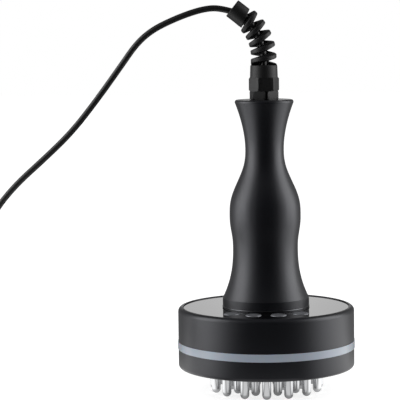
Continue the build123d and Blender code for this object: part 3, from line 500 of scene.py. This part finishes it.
def plug_core():
    """Insulator inside the barrel, set back a little from its front edge, with the bore for the pin."""
    back = plug_neck + plug_grip
    end = back + plug_barrel - insulator_inset
    floor_of_bore = end - contact_depth
    profile = [(0, back), (barrel_bore, back), (barrel_bore, end), (contact_bore, end),
               (contact_bore, floor_of_bore), (0, floor_of_bore)]
    return [sheet_of(plug_axis(soft_corners(profile, (0, contact_edge, barrel_edge, 0))))]


grip_piece = piece("plug_body", plug_body(), plug_pvc, ["plug_grip"], crease=50)
sleeve_piece = piece("plug_sleeve", plug_sleeve(), nickel, ["plug_barrel"])
core_piece = piece("plug_core", plug_core(), epoxy, ["plug_insulator"])

# Gland: flange, cap nut, spiral and end sleeve
gland_flats = 15.0
corner_sharpness = 90
handle_top = 165.5
flange_top = 170.3
nut_top = 178.0
cap_top = 184.8
flange_turn = radians(-19)
flange_bore = 3.05
flange_foot = 7.9
flange_corner = 8.75
flange_shoulder = 8.2
flange_chamfer = (0.5, 0.6)
seam_radius = 8.05
seam_half_height = 0.3
slot_turn = radians(10.0)
slot_width = 1.4
slot_depth = 1.5
nut_turn = radians(8.4)
nut_bore = 6.05
nut_foot = 8.3
nut_corner = 8.9
nut_crown = 7.95
nut_chamfer = (0.6, 0.75)
cap_radius = (7.85, 7.6)
cap_foot_sunk = 0.2
cap_rounds = (0, 0.45, 0.3)
mouth_radius = 2.6
thread_radius = 6.0
thread_depth = 0.8
thread_pitch = 1.5
thread_length = 13.5
thread_point = 5.2
thread_rows = 109
cup_bore = 4.85
cup_depth = 7.0
overlap = 0.01
round_points = 72


def hexagon(angle, flats, turn):
    """Radius of a hexagon with softened corners: the reach of its six half planes, each cos(angle from it)
    over half the flats, joined by a high power, (sum of reach^p)^(-1/p)."""
    faces = np.arange(6) * pi / 3 + pi / 6 + turn
    reach = np.maximum(np.cos(angle[:, None] - faces), 0) / (flats / 2)
    return np.sum(reach ** corner_sharpness, axis=1) ** (-1 / corner_sharpness)


def prism(profile, turn, slot=None, around=360):
    """A closed solid's rings: at each height of a profile of (limit, height) the radius is the hexagon's or
    the round limit, whichever is smaller."""
    angle = np.linspace(0, 2 * pi, around, endpoint=False)
    outline = hexagon(angle, gland_flats, turn)
    if slot is not None:
        across = np.sin(angle - slot + pi / 2) * outline
        facing = np.cos(angle - slot + pi / 2) > 0
        outline = outline - slot_depth * (facing & (np.abs(across) < slot_width / 2))
    limit, height = np.array(profile + profile[:1], float).T[..., None]
    radius = np.minimum(outline, limit)
    return np.stack([radius * np.cos(angle), radius * np.sin(angle), height * np.ones(around)], -1)


def gland_flange():
    """Hexagonal flange with its chamfers and front slot, a threaded spigot under it and a plain cup in the
    cap nut. The thread's radius is a triangle wave of height / pitch - angle / 360, cut to a cone at its
    point."""
    low, high = handle_top, flange_top
    seam = high - seam_half_height
    flange = prism([(flange_bore, low), (flange_foot, low), (flange_corner, low + flange_chamfer[0]),
                    (flange_corner, high - flange_chamfer[1]), (flange_shoulder, seam), (seam_radius, seam),
                    (seam_radius, high), (flange_bore, high)], flange_turn, slot_turn)
    point = low - thread_length
    height = np.linspace(point, low + overlap, thread_rows)[:, None]
    angle = np.linspace(0, 2 * pi, round_points, endpoint=False)
    phase = height / thread_pitch - angle / (2 * pi)
    radius = thread_radius - thread_depth * np.abs(2 * (phase % 1) - 1)
    radius = np.minimum(radius, thread_point + (height - point))
    thread = np.stack([radius * np.cos(angle), radius * np.sin(angle), height * np.ones_like(angle)], -1)
    bore = lathe([(flange_bore, low + overlap), (flange_bore, point)], round_points)
    spigot = np.concatenate([thread, bore, thread[:1]])
    cup = lathe([(thread_radius, high - overlap), (thread_radius, nut_top), (cup_bore, nut_top),
                 (cup_bore, nut_top - cup_depth), (thread_radius, high - overlap)], round_points)
    return [sheet_of(flange * MM), sheet_of(spigot * MM), sheet_of(cup * MM)]


# The spiral's strand. Its turns are counted from the cap's top, and it starts a little before, in the cap.
# Of the pairs, its radius is at its start and end, its half thickness at its root and rim, and its joined
# turns are those at the cap and the sleeve. It starts to narrow at the first span of turns before its end,
# and has narrowed after the second.
spiral_turns = 5.4
spiral_first_turn = -0.09
spiral_start = radians(32)
spiral_radius = (5.45, 4.85)
spiral_half_width = 1.9
spiral_end_width = 0.85
spiral_narrows = (0.35, 0.2)
spiral_half_thickness = (2.15, 1.15)
spiral_squareness = 6.0
spiral_steps_per_turn = 72
spiral_section_points = 32
spiral_joined_turns = (0.43, 0.3)
spiral_joint_step = 0.03
spiral_joint_sunk = 0.4
spiral_straight = 4.5
spiral_bend_radius = 28.5
spiral_bend = radians(51.5)
sleeve_radius = 5.6
sleeve_bore = 4.0
sleeve_length = 8.5
sleeve_back = 2.4
sleeve_slant = 2.8
sleeve_rounds = (0.3, 0.45, 0.3)


def spiral_axis(turn):
    """Where the spiral's own axis has got to after some turns: up a straight run, then round a bend to -X.
    Gives the place, the lean of the axis and how far along it is."""
    length = spiral_straight + spiral_bend * spiral_bend_radius
    along = length * turn / spiral_turns
    lean = np.maximum(0, along - spiral_straight) / spiral_bend_radius
    place = np.stack([-spiral_bend_radius * (1 - np.cos(lean)), 0 * lean,
                      cap_top + np.minimum(along, spiral_straight) + spiral_bend_radius * np.sin(lean)], -1)
    return place, lean, along, length


def spiral_ribbon():
    """Flat moulded strand carried round the bent axis. Its section is |cos|^(2/n) wide and |sin|^(2/n) tall,
    with n its squareness, and is thinner at its rim. Over the joined turns at its start its lower side
    reaches down to the cap, and over those at its end its upper side reaches on to the sleeve. There it
    narrows to fit inside."""
    steps = round(spiral_turns * spiral_steps_per_turn)
    turn = np.linspace(spiral_first_turn, spiral_turns, steps + 1)
    place, lean, along, length = spiral_axis(turn)
    angle = 2 * pi * turn + spiral_start
    side = np.stack([np.cos(lean), 0 * lean, np.sin(lean)], -1)
    onward = np.stack([-np.sin(lean), 0 * lean, np.cos(lean)], -1)
    outward = side * np.cos(angle)[:, None] + np.array([0, 1, 0]) * np.sin(angle)[:, None]
    middle = spiral_radius[0] + (spiral_radius[1] - spiral_radius[0]) * turn / spiral_turns
    section = np.linspace(0, 2 * pi, spiral_section_points, endpoint=False)
    power = 2 / spiral_squareness
    slim = np.clip((turn - spiral_turns + spiral_narrows[0]) / spiral_narrows[1], 0, 1)[:, None]
    half_width = spiral_half_width + (spiral_end_width - spiral_half_width) * slim * slim * (3 - 2 * slim)
    wide = half_width * np.sign(np.cos(section)) * np.abs(np.cos(section)) ** power
    rise = np.sign(np.sin(section)) * np.abs(np.sin(section)) ** power
    root, rim = spiral_half_thickness
    thick = root + (rim - root) * (wide / half_width + 1) / 2
    to_cap = (along + spiral_joint_sunk)[:, None]
    to_sleeve = (length - along + spiral_joint_sunk)[:, None]
    at_cap = np.clip((spiral_joined_turns[0] - turn) / spiral_joint_step, 0, 1)[:, None]
    at_sleeve = np.clip((turn - spiral_turns + spiral_joined_turns[1]) / spiral_joint_step, 0, 1)[:, None]
    low = thick + at_cap * np.maximum(0, to_cap - thick)
    high = thick + at_sleeve * np.maximum(0, to_sleeve - thick)
    tall = np.where(rise < 0, low, high) * rise
    return (place[:, None] + outward[:, None] * (middle[:, None] + wide)[..., None]
            + onward[:, None] * tall[..., None])


def spiral_nut():
    """Cap nut with its chamfered hexagon, tapered cap, spiral and end sleeve, which are one moulding. The
    sleeve's near end is slanted: its height is shifted in proportion to its distance from its far end."""
    seam = flange_top + seam_half_height
    nut = prism([(nut_bore, flange_top), (seam_radius, flange_top), (seam_radius, seam), (nut_foot, seam),
                 (nut_corner, flange_top + nut_chamfer[0]), (nut_corner, nut_top - nut_chamfer[1]),
                 (nut_crown, nut_top), (nut_bore, nut_top)], nut_turn)
    low, high = cap_radius
    cap = lathe(soft_corners([(mouth_radius, nut_top), (low, nut_top - cap_foot_sunk), (high, cap_top),
                              (mouth_radius, cap_top), (mouth_radius, nut_top)], cap_rounds), 144)
    end, lean = spiral_axis(np.array([float(spiral_turns)]))[:2]
    side = (cos(lean[0]), 0, sin(lean[0]))
    onward = (-sin(lean[0]), 0, cos(lean[0]))
    sleeve = lathe(soft_corners([(sleeve_bore, 0), (sleeve_radius, 0), (sleeve_radius, sleeve_length),
                                 (sleeve_bore, sleeve_length), (sleeve_bore, 0)], sleeve_rounds), 96)
    outer_share = np.clip(1 + sleeve[..., 0] / sleeve_radius, 0, 2) / 2
    near_share = 1 - sleeve[..., 2] / sleeve_length
    sleeve[..., 2] += (sleeve_slant * outer_share - sleeve_back) * near_share
    return [sheet_of(nut * MM), sheet_of(cap * MM), sheet_of(spiral_ribbon() * MM, True, True),
            sheet_of(placed(sleeve, end[0], side, onward) * MM)]


# Trim ring round the handle's foot
panel_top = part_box("control_panel")[1].z / MM
trim_radius = 24.45
trim_out = 0.3
trim_half_height = 0.32
trim_above_panel = 0.75


def foot_trim():
    """Thin trim ring let into the handle's foot: a half ellipse, turned about Z, that stands a little out of
    the collar."""
    bend = np.linspace(-pi / 2, pi / 2, 11)
    bead = np.stack([trim_radius + trim_out * np.cos(bend),
                     panel_top + trim_above_panel + trim_half_height * np.sin(bend)], -1)
    return [sheet_of(lathe(np.vstack([bead, bead[:1]]), 180) * MM)]


piece("foot_trim", foot_trim(), black_chrome, crease=50)
piece("gland_flange", gland_flange(), moulded_nylon, ["gland_body"], crease=28)
piece("spiral_guard", spiral_nut(), moulded_nylon, ["spiral_nut"], crease=40)


# Screws, with cross recesses and cut threads, where the frame has its plain ones
def solids_of(node):
    """Points of each separate solid of a node, in a steady order, once its loose triangles are joined."""
    work = bmesh.new()
    work.from_mesh(nodes[node].data)
    bmesh.ops.remove_doubles(work, verts=work.verts, dist=1e-6)
    left = set(work.verts)
    found = []
    while left:
        stack = [left.pop()]
        group = []
        while stack:
            vertex = stack.pop()
            group.append(vertex.co[:])
            for edge in vertex.link_edges:
                other = edge.other_vert(vertex)
                if other in left:
                    left.remove(other)
                    stack.append(other)
        found.append(np.array(group))
    work.free()
    return sorted(found, key=lambda group: tuple(np.round(group.mean(axis=0), 5)))


# A screw's proportions. The cross's half width and its reach, each with the run of its slope, are shares of
# the head's radius. The dome's drop and the cross's depth are shares of the head's height, and the taper is
# how much shallower the cross would be at the rim. The thread's depth, the point's length and the tip are
# shares of the shank's radius.
cross_arm = (0.15, 0.05)
cross_reach = (0.62, 0.1)
cross_depth = 0.55
cross_taper = 0.6
dome_drop = 0.3
screw_thread_depth = 0.2
screw_point_length = 1.6
screw_tip = 0.12


def cross_screw(points, axis, pitch):
    """A pan-head screw in a plain screw's place. The head's face is a shallow dome, which falls with the
    fourth power of the radius, with a tapered cross sunk into it. The shank's radius rises and falls once a
    pitch along a helix, down to a cone point."""
    shank_way = np.array(axis, float)
    x_axis = np.array((0.0, 0.0, 1.0) if abs(shank_way[2]) < 0.5 else (1.0, 0.0, 0.0))
    centre = (points.min(axis=0) + points.max(axis=0)) / 2
    along = (points - centre) @ shank_way
    apart = np.linalg.norm((points - centre) - np.outer(along, shank_way), axis=1)
    start, end = along.min(), along.max()
    head_radius = apart.max()
    shank_radius = apart[along > end - 1e-5].max()
    seat = along[apart > (head_radius + shank_radius) / 2].max()
    spin = np.linspace(0, 2 * pi, 96, endpoint=False)
    reach = np.linspace(0, 1, 26)[:, None]
    arm = np.minimum(np.abs(reach * np.sin(spin)), np.abs(reach * np.cos(spin)))
    cut = (np.clip((cross_arm[0] - arm) / cross_arm[1], 0, 1)
           * np.clip((cross_reach[0] - reach) / cross_reach[1], 0, 1))
    height = seat - start
    dome = start + height * (dome_drop * reach ** 4 + cross_depth * cut * (1 - cross_taper * reach))
    face = np.stack([reach * head_radius * np.cos(spin), reach * head_radius * np.sin(spin),
                     dome * np.ones_like(spin)], -1)
    brim = lathe([(head_radius, seat), (shank_radius, seat)])
    rows = max(12, int((end - seat) / (pitch * MM) * 8))
    down = np.linspace(0, 1, rows)[:, None]
    depth = seat + down * (end - seat)
    phase = depth / (pitch * MM) - spin / (2 * pi)
    ridge = shank_radius * (1 - screw_thread_depth * np.abs(2 * (phase % 1) - 1))
    left = (1.0 - down) * (end - seat) / (screw_point_length * shank_radius)
    ridge = ridge * np.clip(left, screw_tip, 1)
    shank = np.stack([ridge * np.cos(spin), ridge * np.sin(spin), depth * np.ones_like(spin)], -1)
    body = np.concatenate([face, brim, shank])
    return sheet_of(placed(body, centre, x_axis, shank_way), False, True)


screw_ways = {"shell_screws": (0, 0, 1), "handle_screws": (0, -1, 0), "base_screws": (0, 0, 1),
              "board_screws": (0, 0, 1), "bracket_screws": (0, 0, 1), "motor_screws": (0, 0, 1)}
screw_pitch = {"shell_screws": 1.1, "handle_screws": 0.9, "base_screws": 0.9, "board_screws": 0.9,
               "bracket_screws": 0.9, "motor_screws": 0.4}
for node, way in screw_ways.items():
    cut = [cross_screw(points, way, screw_pitch[node]) for points in solids_of(node)]
    piece("cross_" + node, cut, zinc_plate, [node], crease=32)


# Studio: a light tent with a tall softbox at each side. In reflections its sides are bright, its front dark,
# its back wall bright low down and its ceiling dim. To the camera the floor and the background are white.
floor_half = 4.0
fill_level = 0.35
# Distances from the axis: inside pool_start the floor's reflections fall to the painted shadow's level under
# the object, and between the pool_end distances the painted pool of light fades into the tent's levels.
pool_start = (0.026, 0.048)
pool_shade = 0.3
pool_end = (0.075, 0.150)
camera_floor_glow = 0.80
wall_behind = 1.16
ceiling_behind = 0.06
# Straight behind, the bright wall ends between the first rises. The tent's walls end between the second, and
# the ceiling over them has one level. A rise is the sine of the direction's angle above the horizon.
wall_top = (0.2, 0.36)
tent_top = (0.55, 0.82)
ceiling_level = 0.15
floor_behind = 0.3
# How bright the painted pool of light about the object is in reflections, by the direction in degrees from
# the front, negative to -X
pool_levels = [(-180, 0.3), (-140, 0.55), (-100, 1.3), (-62, 1.3), (-44, 0.75), (-34, 0.34), (-24, 0.72),
               (24, 0.72), (34, 0.34), (44, 0.75), (62, 1.3), (100, 1.3), (140, 0.55), (180, 0.3)]


def tent_levels(behind):
    """How bright the tent is in reflections, by the direction as above, with the level straight behind
    given."""
    return [(-180, behind), (-166, 0.2), (-150, 0.2), (-128, 0.3), (-114, 0.8), (-102, 2.0), (-72, 1.95),
            (-57, 1.35), (-42, 0.35), (-28, 0.04), (0, 0.02), (32, 0.03), (48, 0.2), (60, 1.0), (75, 1.7),
            (88, 2.1), (110, 1.95), (122, 0.7), (136, 0.3), (155, 0.2), (166, 0.2), (180, behind)]


def level_round(tree, where, levels):
    """A brightness that changes with the direction of a place, seen from the object's axis: the levels,
    joined by straight lines, at the angle atan2(x, -y). The levels go from -180 to 180 degrees."""
    brightest = max(level for turn, level in levels)
    split = add(tree, "SeparateXYZ", {"Vector": where})
    front = add(tree, "Math", {0: split.outputs["Y"], 1: -1.0}, operation="MULTIPLY").outputs[0]
    turn = add(tree, "Math", {0: split.outputs["X"], 1: front}, operation="ARCTAN2").outputs[0]
    share = add(tree, "MapRange", {"Value": turn, "From Min": -pi, "From Max": pi}).outputs["Result"]
    ramp = add(tree, "ValToRGB", {"Fac": share})
    stops = ramp.color_ramp.elements
    while len(stops) < len(levels):
        stops.new(0.5)
    for stop, (degrees_round, level) in zip(stops, levels):
        stop.position = (degrees_round + 180) / 360
        stop.color = (level / brightest,) * 3 + (1.0,)
    return add(tree, "Math", {0: ramp.outputs["Color"], 1: brightest}, operation="MULTIPLY").outputs[0]


def floor():
    """A wide pale floor that keeps the shadow and reads as white where nothing shades it. In reflections it
    carries the tent's levels on, with a painted pool of light about the object and a painted shadow under it."""
    corners = [(-floor_half, -floor_half, 0), (floor_half, -floor_half, 0), (floor_half, floor_half, 0),
               (-floor_half, floor_half, 0)]
    mesh = bpy.data.meshes.new("floor")
    mesh.from_pydata(corners, [], [(0, 1, 2, 3)])
    material = bpy.data.materials.new("floor_white")
    material.use_nodes = True
    tree = material.node_tree
    tree.nodes.remove(tree.nodes["Principled BSDF"])
    path = add(tree, "LightPath")
    where = add(tree, "TexCoord").outputs["Object"]
    away = add(tree, "VectorMath", {0: where}, operation="LENGTH").outputs["Value"]
    # Painted shadow under the object, seen only in reflections.
    lit = add(tree, "MapRange", {"Value": away, "From Min": pool_start[0], "From Max": pool_start[1],
                                 "To Min": pool_shade, "To Max": 1.0},
              interpolation_type="SMOOTHSTEP").outputs["Result"]
    # Painted pool of light about the object, brighter and darker by direction, seen only in reflections.
    round_about = level_round(tree, where, pool_levels)
    pool = add(tree, "Math", {0: lit, 1: round_about}, operation="MULTIPLY").outputs[0]
    tent = level_round(tree, where, tent_levels(floor_behind))
    far = add(tree, "MapRange", {"Value": away, "From Min": pool_end[0], "From Max": pool_end[1]},
              interpolation_type="SMOOTHSTEP").outputs["Result"]
    level = add(tree, "Mix", {"Factor": far, "A": pool, "B": tent}, data_type="FLOAT").outputs[0]
    matt = add(tree, "BsdfDiffuse", {"Color": linear("#e9e9e9")}).outputs[0]
    glow = add(tree, "Emission", {"Color": (1, 1, 1, 1), "Strength": camera_floor_glow}).outputs[0]
    seen = add(tree, "AddShader", {0: matt, 1: glow}).outputs[0]
    mirrored = add(tree, "Emission", {"Color": (1, 1, 1, 1), "Strength": level}).outputs[0]
    to_camera = add(tree, "MixShader", {0: path.outputs["Is Camera Ray"], 1: matt, 2: seen}).outputs[0]
    surface = add(tree, "MixShader", {0: path.outputs["Is Glossy Ray"], 1: to_camera, 2: mirrored}).outputs[0]
    tree.links.new(surface, tree.nodes["Material Output"].inputs["Surface"])
    mesh.materials.append(material)
    made = bpy.data.objects.new("floor", mesh)
    bpy.context.scene.collection.objects.link(made)


def surroundings():
    """White to the camera, the tent's levels in reflections, and a dim even fill for the rest."""
    world = bpy.data.worlds.new("studio")
    bpy.context.scene.world = world
    world.use_nodes = True
    tree = world.node_tree
    path = add(tree, "LightPath")
    where = add(tree, "TexCoord").outputs["Generated"]
    rise = add(tree, "SeparateXYZ", {"Vector": where}).outputs["Z"]
    above_wall = add(tree, "MapRange", {"Value": rise, "From Min": wall_top[0], "From Max": wall_top[1]},
                     interpolation_type="SMOOTHSTEP").outputs["Result"]
    low = level_round(tree, where, tent_levels(wall_behind))
    high = level_round(tree, where, tent_levels(ceiling_behind))
    tent = add(tree, "Mix", {"Factor": above_wall, "A": low, "B": high}, data_type="FLOAT").outputs[0]
    overhead = add(tree, "MapRange", {"Value": rise, "From Min": tent_top[0], "From Max": tent_top[1]},
                   interpolation_type="SMOOTHSTEP").outputs["Result"]
    tent = add(tree, "Mix", {"Factor": overhead, "A": tent, "B": ceiling_level}, data_type="FLOAT").outputs[0]
    mirrored = add(tree, "Math", {0: path.outputs["Is Glossy Ray"], 1: path.outputs["Is Transmission Ray"]},
                   operation="MAXIMUM").outputs[0]
    unseen = add(tree, "Mix", {"Factor": mirrored, "A": fill_level, "B": tent}, data_type="FLOAT").outputs[0]
    level = add(tree, "Mix", {"Factor": path.outputs["Is Camera Ray"], "A": unseen, "B": 1.0},
                data_type="FLOAT").outputs[0]
    background = tree.nodes["Background"]
    background.inputs["Color"].default_value = (1, 1, 1, 1)
    tree.links.new(level, background.inputs["Strength"])


def softbox(name, turn, away, height, width, tall, level):
    """A rectangular lamp that faces the object's axis. Its turn is in degrees from the front, positive to +X,
    and its level the brightness of its face, which a lamp of this kind gives with pi times its area."""
    data = bpy.data.lights.new(name, "AREA")
    data.shape = "RECTANGLE"
    data.size = width
    data.size_y = tall
    data.energy = level * pi * width * tall
    lamp = bpy.data.objects.new(name, data)
    place = Vector((away * sin(radians(turn)), -away * cos(radians(turn)), height))
    lamp.location = place
    lamp.rotation_euler = (Vector((0, 0, height)) - place).to_track_quat("-Z", "Y").to_euler()
    bpy.context.scene.collection.objects.link(lamp)


floor()
surroundings()
softbox("left_softbox", -84, 0.9, 0.6, 0.66, 1.2, 1.65)
softbox("right_softbox", 92, 0.9, 0.6, 0.66, 1.2, 1.6)
